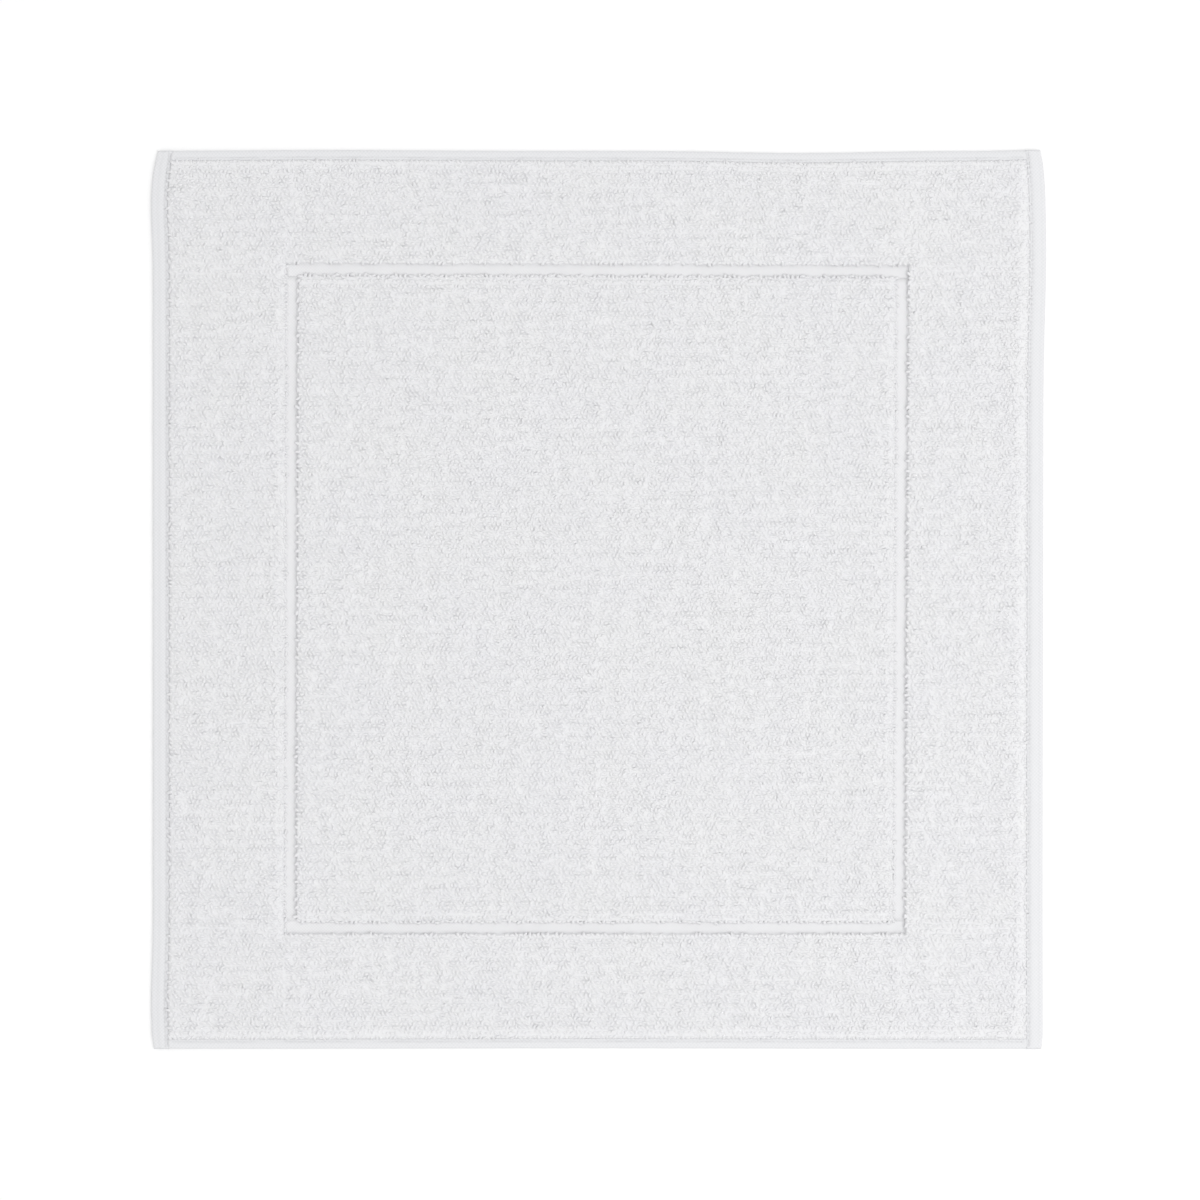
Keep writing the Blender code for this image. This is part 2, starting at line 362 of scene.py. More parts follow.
def woven_cotton(name, dark, light, pitch, roughness, relief):
    """Plain-woven cotton on the cloth map. It and the pitch are in mm; relief is the bump's depth."""
    material, tree = new_finish(name)
    cloth = add(tree, "ShaderNodeUVMap", uv_map="cloth").outputs["UV"]
    split = add(tree, "ShaderNodeSeparateXYZ", {"Vector": cloth})
    waves = []
    for axis in "XY":
        half_turns = {0: split.outputs[axis], 1: np.pi / pitch}
        phase = add(tree, "ShaderNodeMath", half_turns, operation="MULTIPLY")
        waves.append(add(tree, "ShaderNodeMath", {0: phase.outputs[0]}, operation="SINE").outputs[0])
    weave = add(tree, "ShaderNodeMath", {0: waves[0], 1: waves[1]}, operation="MULTIPLY")
    slub = add(tree, "ShaderNodeTexNoise", {"Vector": cloth, "Scale": SLUB_PER_MM, "Detail": 2.0})
    # The colour is painted lighter on the weave's humps and darker in its hollows, as painted shade, plus
    # the slubs' own tone.
    tone = add(tree, "ShaderNodeMath", {0: weave.outputs[0], 1: slub.outputs["Fac"]}, operation="ADD")
    share = add(tree, "ShaderNodeMapRange", {"Value": tone.outputs[0], "From Min": -0.5, "From Max": 1.5})
    colour = add(
        tree,
        "ShaderNodeMix",
        {"Factor": share.outputs["Result"], "A": linear(dark), "B": linear(light)},
        data_type="RGBA",
    )
    bump = add(tree, "ShaderNodeBump", {"Height": weave.outputs[0], "Strength": 0.5, "Distance": relief})
    shader = add(
        tree,
        "ShaderNodeBsdfPrincipled",
        {
            "Base Color": colour.outputs["Result"],
            "Normal": bump.outputs["Normal"],
            "Roughness": roughness,
            "IOR": COTTON_IOR,
            "Specular IOR Level": 0.25,
            "Sheen Weight": 0.1,
            "Sheen Roughness": 0.5,
        },
    )
    add(tree, "ShaderNodeOutputMaterial", {"Surface": shader.outputs["BSDF"]})
    return material


GROUND = woven_cotton("ground_cotton_plain_weave", "#DFDFE2", "#E8E8EA", 1.2, 0.9, 0.2 * MM)
FLAT = woven_cotton("line_cotton_flat_weave", "#E3E3E5", "#EBEBEC", 1.0, 0.85, 0.12 * MM)
HEM = woven_cotton("hem_cotton_pressed_weave", "#DEDFE1", "#E6E6E8", 1.2, 0.85, 0.12 * MM)
SEWING = woven_cotton("sewing_thread_hard_twist", "#E6E6E8", "#F0F0F1", 0.5, 0.6, 0.08 * MM)
print("made", GROUND.name, FLAT.name, HEM.name, SEWING.name)

# %% [markdown]
# ## The ground cloth
# One sheet of plain weave lies flat on the floor. Along each edge it climbs onto the folded hem,
# because the hem's upper layer is the same cloth carried on. The height of its upper face is needed
# again later, since every loop stands on it.

# %% Ground cloth
HEM_LAYER_GAP = 0.15 * MM  # air between two layers of a folded hem
HEM_LAYER = (HEM_TOP - 2 * HEM_LAYER_GAP) / 3
CLIMB = 5 * MM  # how far in from the hem the cloth starts to rise
CLIMB_STEPS = 4
GROUND_STEP = 8 * MM


def smooth_step(value):
    """0 below 0, 1 above 1, and an S between them."""
    held = np.clip(value, 0, 1)
    return held * held * (3 - 2 * held)


def beyond_hems(x, y):
    """How far a point lies inside the nearest hem's inner edge; below 0 it is over the hem."""
    return np.minimum(HALF_WIDTH - SIDE_HEM - np.abs(x), HALF_LENGTH - END_HEM - np.abs(y))


def cloth_top(x, y):
    """The height of the cloth's upper face."""
    return HEM_TOP + (GROUND_TOP - HEM_TOP) * smooth_step(beyond_hems(x, y) / CLIMB)


def rows_to_edge(half, coarse, edge, count):
    """Places from -half to half: a few close together along each edge, coarse steps between them."""
    inner = half - edge
    middle = np.linspace(-inner, inner, round(2 * inner / coarse) + 1)
    close = np.linspace(inner, half, count + 1)[1:]
    return np.concatenate([-close[::-1], middle, close])


ground_x = rows_to_edge(HALF_WIDTH - SIDE_HEM, GROUND_STEP, CLIMB, CLIMB_STEPS)
ground_y = rows_to_edge(HALF_LENGTH - END_HEM, GROUND_STEP, CLIMB, CLIMB_STEPS)
gx, gy = np.meshgrid(ground_x, ground_y, indexing="ij")
top = cloth_top(gx, gy)
rise = (top - GROUND_TOP) / (HEM_TOP - GROUND_TOP)
bottom = rise * (HEM_TOP - HEM_LAYER)
sx, sy = shifted(gx, gy)
ground_shape = closed_cloth(np.stack([sx, sy, top], -1), np.stack([sx, sy, bottom], -1), gx / MM, gy / MM)
woven_ground = make_piece("woven_ground", ground_shape, ["ground_cloth"], GROUND)

# %% [markdown]
# ## The sunk line
# For 8 mm the pile yarns are woven in flat, which leaves a smooth, tight ribbon below the pile. It is
# slightly crowned, since the weft pulls it in from both sides. The front and back stretches take the
# corners, and the side stretches meet them.

# %% Flat-woven line
LINE_CROWN = 0.25 * MM
LINE_WAVES = 0.08 * MM  # slow waves along it
LINE_LIFT = 0.05 * MM  # how far the ribbon's underside clears the ground cloth
LINE_MARGIN = 1.5 * MM  # how far the ribbon runs on beneath the pile
GROOVE = 0.3 * MM  # how far it is pulled down beside the pile on its tighter side
GROOVE_PLACE = 0.3 * MM  # from the line's edge
GROOVE_REACH = 0.5 * MM
LINE_POINTS = 15  # across the ribbon
LINE_STEP = 4 * MM  # between two rows of points along it


def flat_line(side):
    """A ribbon over the box of its CAD node, from two parameters, across and along it."""
    (x0, x1), (y0, y1) = span(f"flat_line_{side}", 0), span(f"flat_line_{side}", 1)
    lies_along_y = side in ("left", "right")
    x0, x1 = x0 - LINE_MARGIN, x1 + LINE_MARGIN
    if not lies_along_y:
        y0, y1 = y0 - LINE_MARGIN, y1 + LINE_MARGIN
    width, length = (x1 - x0, y1 - y0) if lies_along_y else (y1 - y0, x1 - x0)
    across = np.linspace(0, 1, LINE_POINTS)[:, None]
    along = np.linspace(0, 1, round(length / LINE_STEP))[None, :]
    x = x0 + (x1 - x0) * (across if lies_along_y else along)
    y = y0 + (y1 - y0) * (along if lies_along_y else across)
    x, y = np.broadcast_arrays(x, y)
    waves = LINE_WAVES * ripples(x, y, wavelength=18 * MM, seed=3)
    crown = LINE_CROWN * (1 - (2 * across - 1) ** 2) + waves
    steep_at = 0 if side == "front" else 1
    groove_at = steep_at + (0.5 - steep_at) * 2 * (LINE_MARGIN + GROOVE_PLACE) / width
    groove = GROOVE * near(across, groove_at, GROOVE_REACH / width)
    face_z = LINE_TOP - LINE_CROWN + crown - groove
    back_z = np.full(x.shape, GROUND_TOP + LINE_LIFT)
    sx, sy = shifted(x, y)
    return closed_cloth(
        np.stack([sx, sy, face_z], -1),
        np.stack([sx, sy, back_z], -1),
        across * width / MM,
        along * length / MM,
    )


for side in SIDES:
    shape = flat_line(side)
    make_piece(f"woven_line_{side}", shape, [f"flat_line_{side}"], FLAT)

# %% [markdown]
# ## The hems
# The bare edge of the cloth is turned under twice, so a cut across a hem shows three layers: out along
# the top, round the edge, back along the floor, then up and outwards again between the two. That path
# is one line of points. The cloth is that line thickened, carried along the mat's edge.
#
# The row of stitches pulls the layers together, most at each needle hole, which makes the small
# puckers along a sewn edge. On the wide side hems a shallow valley also runs along the band, a third of
# the way in, where pressing has let the layers settle.

# %% Hem
STITCH_LENGTH = 3 * MM
PUCKER = 0.8 * MM  # how deep the thread pulls the cloth in
END_PUCKER = 0.5 * MM  # the same at the narrower end hems
PUCKER_REACH = 0.9 * MM
BETWEEN_HOLES = 0.2  # the share of that pull which is left midway between two needle holes
PULL_FADE = 3 * MM  # over the last of a hem the pull fades, because the thread ends there
VALLEY = 0.5 * MM
VALLEY_PLACE = 3.4 * MM  # in from the edge
VALLEY_REACH = 0.9 * MM
EDGE_PRESS = 0.25  # how much flatter a hem is at its outer fold
PRESS_REACH = 0.65  # of the hem's width
CORNER_PRESS = 0.25  # how much flatter a side hem is at its ends
CORNER_REACH = 6 * MM
CORNER_DRAW = 0.9 * MM  # how far a side hem's fold draws in at its ends
END_HEM_SHARE = 0.15  # how much of that flattening an end hem gets
HEM_SWELL = 0.12 * MM  # slow waves along its upper face
TUCK = 0.5 * MM  # how far an end hem runs on beneath the side hem
EDGE_FRAMES = {  # for each edge: where it starts from, the way inwards and the way along
    "left": ((-HALF_WIDTH, 0), (1, 0), (0, 1)),
    "right": ((HALF_WIDTH, 0), (-1, 0), (0, -1)),
    "front": ((0, -HALF_LENGTH), (0, 1), (-1, 0)),
    "back": ((0, HALF_LENGTH), (0, -1), (1, 0)),
}


def turn(centre, radius, start, end, count):
    """Points round part of a circle, angles in degrees."""
    angle = np.radians(np.linspace(start, end, count))
    return np.stack([centre[0] + radius * np.cos(angle), centre[1] + radius * np.sin(angle)], -1)


def folded_path(width):
    """The middle line of the turned cloth: in from the edge is +, up is +."""
    half = HEM_LAYER / 2
    pitch = HEM_LAYER + HEM_LAYER_GAP
    low, middle, high = half, half + pitch, half + 2 * pitch
    outer = (pitch + half, middle)
    inner = (width - pitch / 2 - half, (low + middle) / 2)
    upper = np.stack([np.linspace(width, outer[0], 10), np.full(10, high)], -1)
    lower = np.stack([np.linspace(outer[0], inner[0], 4), np.full(4, low)], -1)
    inside = np.stack([np.linspace(inner[0], outer[0], 3), np.full(3, middle)], -1)
    return np.concatenate(
        [
            upper[:-1],
            turn(outer, pitch, 90, 270, 7)[:-1],
            lower[:-1],
            turn(inner, pitch / 2, -90, 90, 5)[:-1],
            inside,
        ]
    )


def place_along(side, inwards, along):
    """Plan coordinates of a point so far in from an edge and so far along it."""
    start, inward, forward = EDGE_FRAMES[side]
    x = start[0] + inward[0] * inwards + forward[0] * along
    y = start[1] + inward[1] * inwards + forward[1] * along
    return x, y


def hem(side):
    """Makes one hem, a closed and folded sheet, and returns how wide it is unfolded."""
    is_side = side in ("left", "right")
    width, stitch = (SIDE_HEM, SIDE_STITCH) if is_side else (END_HEM, END_STITCH)
    node = f"{'side' if is_side else 'end'}_hem_{side}"
    reach = HALF_LENGTH if is_side else HALF_WIDTH - SIDE_HEM + TUCK
    path = folded_path(width)
    heading = np.gradient(path, axis=0)
    heading /= np.linalg.norm(heading, axis=1, keepdims=True)
    outward = np.stack([heading[:, 1], -heading[:, 0]], -1)
    along = np.linspace(-reach, reach, round(2 * reach / STITCH_LENGTH) * 2 + 1)[None, :]
    wave = np.cos(2 * np.pi * along / STITCH_LENGTH)
    at_hole = (1 + BETWEEN_HOLES) / 2 + (1 - BETWEEN_HOLES) / 2 * wave
    to_end = near(np.abs(along), reach, CORNER_REACH) * (1 if is_side else END_HEM_SHARE)
    skins = []
    for step in (0.5, -0.5):
        skin = path + step * HEM_LAYER * outward
        inwards, height = skin[:, :1], skin[:, 1:]
        is_top = height > HEM_TOP - 1.5 * HEM_LAYER
        is_under = height < 0.5 * HEM_LAYER
        pull = (PUCKER if is_side else END_PUCKER) * at_hole * near(inwards, stitch, PUCKER_REACH)
        pull = pull * (1 - near(np.abs(along), reach, PULL_FADE))
        valley = VALLEY * near(inwards, VALLEY_PLACE, VALLEY_REACH) * is_side
        lift = is_under * pull - is_top * (pull + valley)
        to_fold = EDGE_PRESS * (1 - smooth_step(inwards / (PRESS_REACH * width)))
        z = (height + lift) * (1 - to_fold) * (1 - CORNER_PRESS * to_end)
        draw = CORNER_DRAW * is_side
        x, y = place_along(side, inwards + draw * to_end * (1 - inwards / width), along)
        swell = HEM_SWELL * ripples(x, y, wavelength=35 * MM, seed=11) * is_top
        sx, sy = shifted(x, y)
        skins.append(np.stack(np.broadcast_arrays(sx, sy, z + swell), -1))
    run = np.concatenate([[0], np.cumsum(np.linalg.norm(np.diff(path, axis=0), axis=1))])
    unfolded = run[-1]
    shape = closed_cloth(*skins, run[:, None] / MM, along / MM)
    piece = make_piece(f"turned_hem_{side}", shape, [node], HEM)
    return unfolded


for side in SIDES:
    print(f"{side} hem: {hem(side) / MM:.1f} mm wide unfolded")

# %% [markdown]
# ## The stitches
# A lockstitch shows one short float of needle thread between each two holes, and the same beneath for
# the bobbin thread. A float is a small tube that dips into the cloth at both ends. All the floats of a
# row are one array: the same five rings, repeated at every stitch.

# %% Stitch rows
TUBE_SIDES = 4  # smooth shading rounds them
WALL_AREA = (0.05, 0.05, 0.95, 0.85)  # a tube's parts in its cell: left, low, right and high ends
CAP_AREAS = ((0.1, 0.89, 0.3, 0.96), (0.5, 0.89, 0.7, 0.96))


def tubes(centres, sideways, radius, map_name):
    """Closed tubes along many short lines at once.

    centres holds each line's points, sideways one level direction for each line, and radius the tube's
    size at each point. A ring is the centre plus the radius times two directions square to the line,
    and the two end rings are closed with a face. The named map runs along a tube in mm and once round it.
    For baking, each tube has its own cell of a square grid.
    """
    count, rings = centres.shape[:2]
    ahead = np.gradient(centres, axis=1)
    ahead /= np.linalg.norm(ahead, axis=2, keepdims=True)
    up = np.cross(np.broadcast_to(sideways[:, None], centres.shape), ahead)
    up /= np.linalg.norm(up, axis=2, keepdims=True)
    aside = np.cross(ahead, up)
    angle = np.arange(TUBE_SIDES)[:, None] * 2 * np.pi / TUBE_SIDES
    ring = np.cos(angle) * up[:, :, None] + np.sin(angle) * aside[:, :, None]
    points = centres[:, :, None] + np.broadcast_to(radius, (count, rings))[:, :, None, None] * ring

    r, k = (index.ravel() for index in np.indices((rings - 1, TUBE_SIDES)))
    ring_of = np.stack([r, r, r + 1, r + 1], -1)
    side_of = np.stack([k, k + 1, k + 1, k], -1)
    wall = ring_of * TUBE_SIDES + side_of % TUBE_SIDES
    caps = np.array([np.arange(TUBE_SIDES)[::-1], (rings - 1) * TUBE_SIDES + np.arange(TUBE_SIDES)])
    one = np.concatenate([wall, caps])
    faces = one + (np.arange(count) * rings * TUBE_SIDES)[:, None, None]

    steps = np.linalg.norm(np.diff(centres, axis=1), axis=2)
    run = np.concatenate([np.zeros((count, 1)), np.cumsum(steps, 1)], 1) / MM
    turn_share = np.broadcast_to(side_of / TUBE_SIDES, (count, *side_of.shape))
    on_yarn = np.stack([run[:, ring_of], turn_share], -1)
    on_yarn = np.concatenate([on_yarn, np.zeros((count, 2, 4, 2))], 1)

    columns = int(np.ceil(np.sqrt(count)))
    square = np.array([(0, 0), (1, 0), (1, 1), (0, 1)])
    in_cell = np.concatenate(
        [
            into(WALL_AREA, np.stack([side_of / TUBE_SIDES, ring_of / (rings - 1)], -1)),
            into(CAP_AREAS[0], square)[None],
            into(CAP_AREAS[1], square)[None],
        ]
    )
    number = np.arange(count)
    cell = np.stack([number % columns, number // columns], -1)
    bake = (in_cell + cell[:, None, None]) / columns
    maps = {map_name: on_yarn.reshape(-1, 4, 2), "OFBake": bake.reshape(-1, 4, 2)}
    return points.reshape(-1, 3), faces.reshape(-1, 4), maps, np.ones(count * len(one), dtype=bool)


FLOAT_REACH = np.array([-1.35, -1.0, 0.0, 1.0, 1.35]) * MM  # its five points along the seam
FLOAT_DIP = np.array([-1.1, -0.3, 0.0, -0.3, -1.1])  # as a share of how deep the thread pulls
FLOAT_SINK = 0.2  # the same for the middle of a needle float, below the hem's top
NEEDLE_SITS = 0.6  # how high a float's middle lies on the cloth, in radii of the thread
BOBBIN_SITS = 1.1
STITCH_WANDER = 0.05 * MM


def stitch_row(kind, side):
    """A row of floats along one hem, on its upper face (needle) or its underside (bobbin)."""
    is_side = side in ("left", "right")
    stitch = SIDE_STITCH if is_side else END_STITCH
    node = f"{kind}_thread_{side}"
    reach = span(node, 1 if is_side else 0)[1]
    number = int(2 * reach / STITCH_LENGTH)
    middles = (np.arange(number) + 0.5 - number / 2) * STITCH_LENGTH
    rng = np.random.default_rng(seed=41)
    aside = rng.normal(0, STITCH_WANDER, (number, 1))
    x, y = place_along(side, stitch + aside, middles[:, None] + FLOAT_REACH)
    sx, sy = shifted(x, y)
    pucker = PUCKER if is_side else END_PUCKER
    upwards, rest = -1, BOBBIN_SITS * THREAD
    if kind == "needle":
        upwards, rest = 1, HEM_TOP - FLOAT_SINK * pucker + NEEDLE_SITS * THREAD
    z = np.broadcast_to(rest + upwards * pucker * FLOAT_DIP, sx.shape)
    centres = np.stack([sx, sy, z], -1)
    inward = np.array([*EDGE_FRAMES[side][1], 0.0])
    shape = tubes(centres, np.broadcast_to(inward, (number, 3)), THREAD, "cloth")
    make_piece(f"{kind}_stitches_{side}", shape, [node], SEWING)


for side in SIDES:
    for kind in ("needle", "bobbin"):
        stitch_row(kind, side)

# %% [markdown]
# ## The pile
# Each loop is a yarn that rises out of the cloth, opens a little, turns over and goes back down. The
# loops stand in rows along the weft, each row half a step on from the one before. None is upright:
# neighbours lean together in patches of one to several centimetres, and each is twisted its own way.
#
# Along a hem or the sunk line the outer loops have nobody to lean on. On some stretches they stand
# close and steep, which leaves a crease of shade beside the line, and on others they sink over it.

# %% How the pile ends
PILE_END_X, PILE_END_Y = HALF_WIDTH - SIDE_HEM, HALF_LENGTH - END_HEM


def ending(drop, reach, lean):
    """An edge of the pile: its tips' drop, how far in that starts and the lean outwards, in mm."""
    return {"drop": drop * MM, "reach": reach * MM, "lean": lean * MM}


STEEP = ending(drop=0.7, reach=3, lean=0.0)
SINKING = ending(drop=2.2, reach=8, lean=0.9)
GENTLE = ending(drop=3.0, reach=8, lean=0.5)
STEEP_HEM = ending(drop=1.9, reach=6, lean=0.25)
GENTLE_HEM = ending(drop=2.4, reach=9, lean=0.4)
PILE_ENDS = [  # inside the line?, the edge's place, the way it faces, its half length, how it ends
    (True, LINE_IN_X, (-1, 0), LINE_IN_Y, STEEP),
    (True, LINE_IN_X, (1, 0), LINE_IN_Y, GENTLE),
    (True, LINE_IN_Y, (0, -1), LINE_IN_X, SINKING),
    (True, LINE_IN_Y, (0, 1), LINE_IN_X, SINKING),
    (False, -LINE_OUT_X, (1, 0), LINE_OUT_Y, GENTLE),
    (False, -LINE_OUT_X, (-1, 0), LINE_OUT_Y, STEEP),
    (False, -LINE_OUT_Y, (0, 1), LINE_OUT_X, STEEP),
    (False, -LINE_OUT_Y, (0, -1), LINE_OUT_X, STEEP),
    (False, PILE_END_X, (-1, 0), PILE_END_Y, STEEP_HEM),
    (False, PILE_END_X, (1, 0), PILE_END_Y, GENTLE_HEM),
    (False, PILE_END_Y, (0, -1), PILE_END_X, GENTLE_HEM),
    (False, PILE_END_Y, (0, 1), PILE_END_X, GENTLE_HEM),
]


def at_pile_ends(x, y):
    """The tips' drop at a point, and their lean in X and Y."""
    drop, lean_x, lean_y = np.zeros((3, *x.shape))
    in_centre = (np.abs(x) < LINE_OUT_X - LINE_WIDTH / 2) & (np.abs(y) < LINE_OUT_Y - LINE_WIDTH / 2)
    for is_centre, place, faces, half, end in PILE_ENDS:
        behind = place - (x * faces[0] + y * faces[1])
        past = np.maximum(np.abs(x * faces[1] + y * faces[0]) - half, 0)
        distance = np.hypot(np.maximum(behind, 0), past)
        counts = (in_centre == is_centre) & (behind > -LINE_WIDTH / 4)
        effect = counts * (1 - smooth_step(distance / end["reach"]))
        drop = np.maximum(drop, end["drop"] * effect)
        lean_x += faces[0] * end["lean"] * effect
        lean_y += faces[1] * end["lean"] * effect
    return drop, lean_x, lean_y


print(len(PILE_ENDS), "ends of pile")

# %% [markdown]
# ### The loom's grid
# The loom sets the loops on one grid of rows and columns over the whole mat, so no seam shows where one
# stretch of pile hands over to the next. The steps are evened out between the hems and the line, which
# keeps the outer loops at the same distance from every edge. Where the line runs, the grid is left empty.

# %% Grid of loops
LOOP_STEP = 3.0 * MM
ROW_STEP = 3.0 * MM
EDGE_ROOM = 1.1 * MM  # from the line's edge to the middle of the outer loops
HEM_ROOM = 1.7 * MM  # and from the hem's edge
DISORDER = (0.15, 0.12)  # how far a loop may stand off the grid, as shares of a step in X and Y


def evened(stops, step):
    """Places from -last stop to last stop, about a step apart, with one at every stop on both sides."""
    counts = np.maximum(np.round(np.diff([0, *stops]) / step), 1).astype(int)
    zones = [np.linspace(a, b, n + 1)[1:] for a, b, n in zip([0, *stops], stops, counts)]
    half = np.concatenate(zones)
    return np.concatenate([-half[::-1], [0], half])


def loom_grid(seed):
    """Where each loop stands: rows shifted by half a step in turn, then a little disorder."""
    rng = np.random.default_rng(seed)
    columns = evened([LINE_IN_X - EDGE_ROOM, LINE_OUT_X + EDGE_ROOM, PILE_END_X - HEM_ROOM], LOOP_STEP)
    rows = evened([LINE_IN_Y - EDGE_ROOM, LINE_OUT_Y + EDGE_ROOM, PILE_END_Y - HEM_ROOM], ROW_STEP)
    x, y = np.meshgrid(columns, rows)
    in_outer = (np.abs(x) < LINE_OUT_X) & (np.abs(y) < LINE_OUT_Y)
    in_inner = (np.abs(x) < LINE_IN_X) & (np.abs(y) < LINE_IN_Y)
    stagger = (np.arange(len(rows))[:, None] % 2 - 0.5) * LOOP_STEP / 2
    x = x + stagger + rng.uniform(-DISORDER[0], DISORDER[0], x.shape) * LOOP_STEP
    y = y + rng.uniform(-DISORDER[1], DISORDER[1], y.shape) * ROW_STEP
    has_loop = in_inner | ~in_outer
    return x[has_loop], y[has_loop]


loop_x, loop_y = loom_grid(seed=100)
print(len(loop_x), "loops")

# %% [markdown]
# ### The base of the pile
# Low down, the loops of cotton press together and their fluff closes the gaps. That part is one bumpy
# body under the whole pile. It slopes down at the hems, and along the line it dips beneath the ribbon.
# Without it the gaps would be wells of shade, which soft cotton never shows.

# %% Base of the pile
BASE_SHARE = 0.73  # of the pile's height
BASE_STEP = 4 * MM
BASE_LIFT = 0.05 * MM  # how far its underside clears the ground cloth
BASE_BUMP = 0.3 * MM
BUMP_SPACING = 9 * MM
FOLLOWS_TIPS = 0.85  # the share of the tips' drop that the base makes too
UNDER_LINE = 0.2 * MM  # its thickness where it passes beneath the line
SHOULDER = 0.7 * MM  # from the line, where its side starts, to the top of that side
HEM_FOOT = 0.4 * MM  # from the hem to the foot of the slope there
HEM_SHOULDER = 2.4 * MM  # and to the top of that slope
HEM_SHARE = 0.4  # how much of the base's height is left at the hem


def base_places(line_in, line_out, pile_end):
    """Places of the base's grid along one axis, close together beside the line and the hem."""
    stops = [line_in - 2 * SHOULDER, line_in - SHOULDER, line_in]
    stops += [line_out, line_out + SHOULDER, line_out + 2 * SHOULDER]
    stops += [pile_end - HEM_SHOULDER, pile_end - (HEM_SHOULDER + HEM_FOOT) / 2, pile_end - HEM_FOOT]
    return evened(stops, BASE_STEP)


def pile_base():
    """A body under the whole pile. Its face lies at a share of the pile's height, plus bumps."""
    places_x = base_places(LINE_IN_X, LINE_OUT_X, PILE_END_X)
    places_y = base_places(LINE_IN_Y, LINE_OUT_Y, PILE_END_Y)
    x, y = np.meshgrid(places_x, places_y, indexing="ij")
    drop, _, _ = at_pile_ends(x, y)
    low = cloth_top(x, y) + BASE_LIFT
    bumps = BASE_BUMP * ripples(x, y, BUMP_SPACING, seed=71)
    high = low + BASE_SHARE * (PILE_TOP - low) - FOLLOWS_TIPS * drop + bumps
    inside = np.minimum(PILE_END_X - np.abs(x), PILE_END_Y - np.abs(y))
    slope = smooth_step((inside - HEM_FOOT) / (HEM_SHOULDER - HEM_FOOT))
    high = low + (high - low) * (HEM_SHARE + (1 - HEM_SHARE) * slope)
    middle = SHOULDER / 2
    outer = (np.abs(x) < LINE_OUT_X + middle) & (np.abs(y) < LINE_OUT_Y + middle)
    inner = (np.abs(x) < LINE_IN_X - middle) & (np.abs(y) < LINE_IN_Y - middle)
    high = np.where(outer & ~inner, low + UNDER_LINE, high)
    sx, sy = shifted(x, y)
    return closed_cloth(np.stack([sx, sy, high], -1), np.stack([sx, sy, low], -1), x / MM, y / MM)


PILE_NODES = ["centre_pile"] + [f"border_pile_{side}" for side in SIDES]
base_shape = pile_base()
base_shape[2]["yarn"] = 0 * base_shape[2].pop("cloth")  # no ply shows in felted fluff
# The base wears the fluff, painted a touch darker than the loops as painted shade.
pile_pieces = [make_piece("pile_base", base_shape, PILE_NODES, SHADED_FLUFF)]

# %% [markdown]
# ### One array for thousands of loops
# All the loops are one array of centre lines, six points each, which the tube function turns into yarn.
# Seen from its side, a loop's points run up one leg, over the bow and down the other. Seen from above,
# they slant a little, because the twist of the yarn turns the loop.

# %% Loops
YARN = 0.98 * MM  # the yarn's radius, with its bloom of loose fibres
YARN_SPREAD = (0.9, 1.1)  # thinnest and thickest, as shares of it
ROOT = 0.3 * MM  # how deep a loop starts in the cloth
ACROSS_LOOP = np.array([-0.7, -1.35, -0.75, 0.75, 1.35, 0.7]) * MM
ASIDE_LOOP = np.array([0.40, 0.35, 0.15, -0.15, -0.35, -0.40]) * MM  # its slant seen from above
UP_LOOP = np.array([0, 0.68, 0.97, 0.97, 0.68, 0])  # as a share of its height
YARN_SWELL = np.array([0.75, 1.0, 1.05, 1.05, 1.0, 0.75])  # thinner where the cloth grips it
EDGE_FLOP = (0.2, 1.8)  # how much of an edge's lean a loop may take, least and most
OWN_LEAN = 0.22 * MM  # the usual lean of a tip by itself
PATCH_LEANS = ((0.18 * MM, 14 * MM, 21), (0.20 * MM, 45 * MM, 31))  # with its patch: lean, patch size, seed
TWIST = np.radians(60)  # how far a loop is usually turned from the rows
OPENED = (0.8, 1.15)  # how wide a loop may stand, least and most
TIP_SPREAD = 0.4 * MM  # how much lower than the highest a tip may stand
TIP_WAVES = 0.12 * MM
LEAN_GROWTH = 1.5  # above 1, a loop bends over more and more towards its tip


def loop_lines(x, y, seed):
    """The centre lines of the loops at x, y, each loop's level sideways direction and its radii."""
    rng = np.random.default_rng(seed)
    count = x.size
    drop, edge_x, edge_y = at_pile_ends(x, y)
    flop = rng.uniform(*EDGE_FLOP, count)
    lean = np.stack([flop * edge_x, flop * edge_y], -1) + rng.normal(0, OWN_LEAN, (count, 2))
    for size, patch, first_seed in PATCH_LEANS:
        for axis in range(2):
            lean[:, axis] += size * ripples(x, y, patch, first_seed + axis)
    heading = rng.normal(0, TWIST, count)
    radius = YARN * rng.uniform(*YARN_SPREAD, count)
    foot = cloth_top(x, y) - ROOT
    waves = TIP_WAVES * (1 + ripples(x, y, wavelength=20 * MM, seed=61))
    tip = PILE_TOP - drop - TIP_SPREAD * rng.random(count) - waves
    forward = np.stack([np.cos(heading), np.sin(heading)], -1)
    sideways = np.stack([-np.sin(heading), np.cos(heading)], -1)
    opened = rng.uniform(*OPENED, count)
    plan = (
        np.stack([x, y], -1)[:, None]
        + (opened[:, None] * ACROSS_LOOP)[..., None] * forward[:, None]
        + ASIDE_LOOP[None, :, None] * sideways[:, None]
        + (UP_LOOP**LEAN_GROWTH)[None, :, None] * lean[:, None]
    )
    height = foot[:, None] + UP_LOOP * (tip - radius - foot)[:, None]
    sx, sy = shifted(plan[..., 0], plan[..., 1])
    centres = np.stack([sx, sy, height], -1)
    return centres, np.column_stack([sideways, np.zeros(count)]), radius[:, None] * YARN_SWELL


loop_centres, loop_sideways, loop_radii = loop_lines(loop_x, loop_y, seed=101)
print("highest loop:", round(loop_centres[..., 2].max() / MM, 2), "mm at its middle")

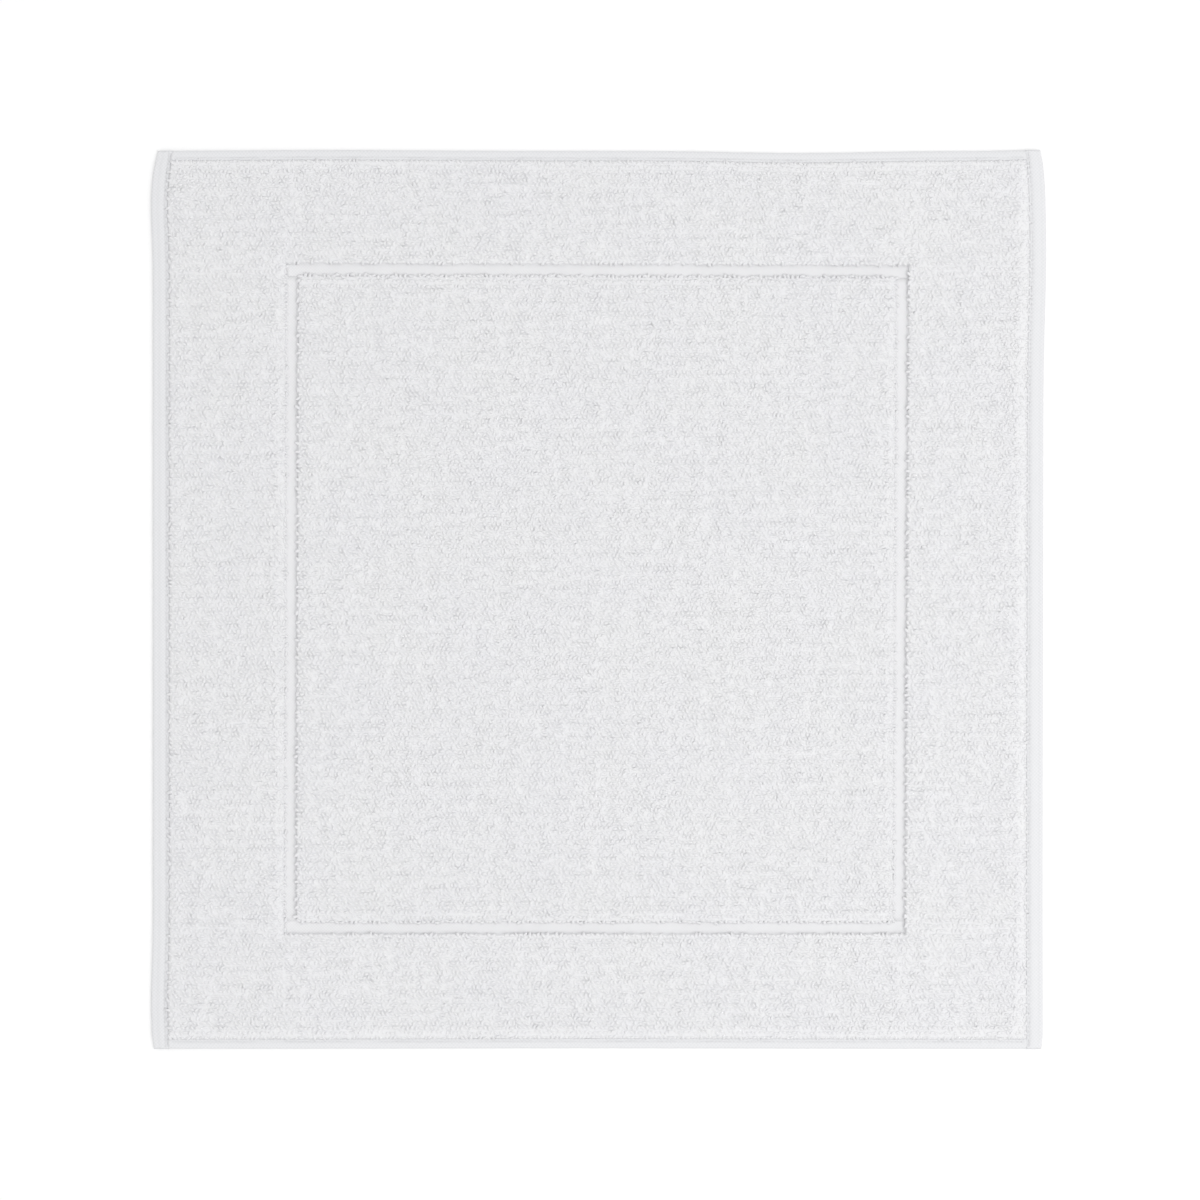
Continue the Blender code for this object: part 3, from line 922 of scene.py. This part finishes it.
# %% [markdown]
# A mesh of all the loops at once would be too heavy to handle, so each field of pile is made in
# stretches. A loop belongs to the first stretch that its foot stands in, and to no other.

# %% Make the loops
FIELDS = (  # CAD node, the pieces' name, how many stretches across and how many along
    ("centre_pile", "centre_loops", 1, 6),
    ("border_pile_left", "border_loops_left", 1, 1),
    ("border_pile_right", "border_loops_right", 1, 1),
    ("border_pile_front", "border_loops_front", 2, 1),
    ("border_pile_back", "border_loops_back", 2, 1),
)
is_free = np.ones(len(loop_x), dtype=bool)


def take_loops(x_range, y_range):
    """The loops that stand in a rectangle, or just outside it, and aren't taken yet."""
    here = is_free & (loop_x > x_range[0] - LOOP_STEP) & (loop_x < x_range[1] + LOOP_STEP)
    here &= (loop_y > y_range[0] - ROW_STEP) & (loop_y < y_range[1] + ROW_STEP)
    is_free[here] = False
    return here


for node, name, across, along in FIELDS:
    cuts_x = np.linspace(*span(node, 0), across + 1)
    cuts_y = np.linspace(*span(node, 1), along + 1)
    for i in range(across):
        for j in range(along):
            here = take_loops(cuts_x[i : i + 2], cuts_y[j : j + 2])
            shape = tubes(loop_centres[here], loop_sideways[here], loop_radii[here], "yarn")
            label = name if across * along == 1 else f"{name}_{i + j + 1}"
            pile_pieces.append(make_piece(label, shape, [node], TERRY))
print("loops left over:", is_free.sum())

# %% [markdown]
# ## What counts as cloth
# The ground cloth was woven to the size it lies at. The loops and the line are woven into it and go
# wherever it goes, so they belong to the sheet.

# %% [markdown]
# ## Floor, light and camera
# White cotton on a pale floor is shown by shade alone, so the light is almost even: a white sky, and one
# broad lamp high up to the right and a little to the front, which gives the pile and the line a
# slightly shaded side. The camera hangs straight above.

# %% Studio
FLOOR_HALF = 4.0
FLOOR_HEIGHT = -0.2 * MM
SKY_STRENGTH = 0.90
LAMP_SIZE = 1.6
LAMP_POWER = 12
LAMP_PLACE = (0.9, -0.35, 1.9)
VIEW_WIDTH = 0.8027  # metres of floor across the view
CAMERA_X = 1.2 * MM
LENS = 100
SENSOR = 36


def floor_finish():
    """Matt white paint."""
    material, tree = new_finish("matt_white_floor")
    look = {"Base Color": linear("#FBFBFB"), "Roughness": 0.9, "Specular IOR Level": 0.1}
    shader = add(tree, "ShaderNodeBsdfPrincipled", look)
    add(tree, "ShaderNodeOutputMaterial", {"Surface": shader.outputs["BSDF"]})
    return material


floor_mesh = bpy.data.meshes.new("floor")
corner_signs = np.array([(-1, -1), (1, -1), (1, 1), (-1, 1)])
floor_mesh.from_pydata([(*(FLOOR_HALF * sign), FLOOR_HEIGHT) for sign in corner_signs], [], [(0, 1, 2, 3)])
floor_mesh.materials.append(floor_finish())
floor = bpy.data.objects.new("floor", floor_mesh)
bpy.context.scene.collection.objects.link(floor)

world = bpy.data.worlds.new("white_sky")
world.use_nodes = True
world.node_tree.nodes["Background"].inputs["Color"].default_value = linear("#FFFFFF")
world.node_tree.nodes["Background"].inputs["Strength"].default_value = SKY_STRENGTH
bpy.context.scene.world = world
bpy.context.scene.view_settings.view_transform = "Standard"

lamp_data = bpy.data.lights.new("broad_lamp", "AREA")
lamp_data.size = LAMP_SIZE
lamp_data.energy = LAMP_POWER
lamp = bpy.data.objects.new("broad_lamp", lamp_data)
lamp.location = LAMP_PLACE
lamp.rotation_euler = (-lamp.location).to_track_quat("-Z", "Y").to_euler()
bpy.context.scene.collection.objects.link(lamp)

camera_data = bpy.data.cameras.new("overhead_camera")
camera_data.lens = LENS
camera_data.sensor_width = SENSOR
camera = bpy.data.objects.new("overhead_camera", camera_data)
camera.location = (CAMERA_X, 0, VIEW_WIDTH * LENS / SENSOR)
bpy.context.scene.collection.objects.link(camera)
bpy.context.scene.camera = camera
print("camera", round(camera.location.z, 2), "m up")
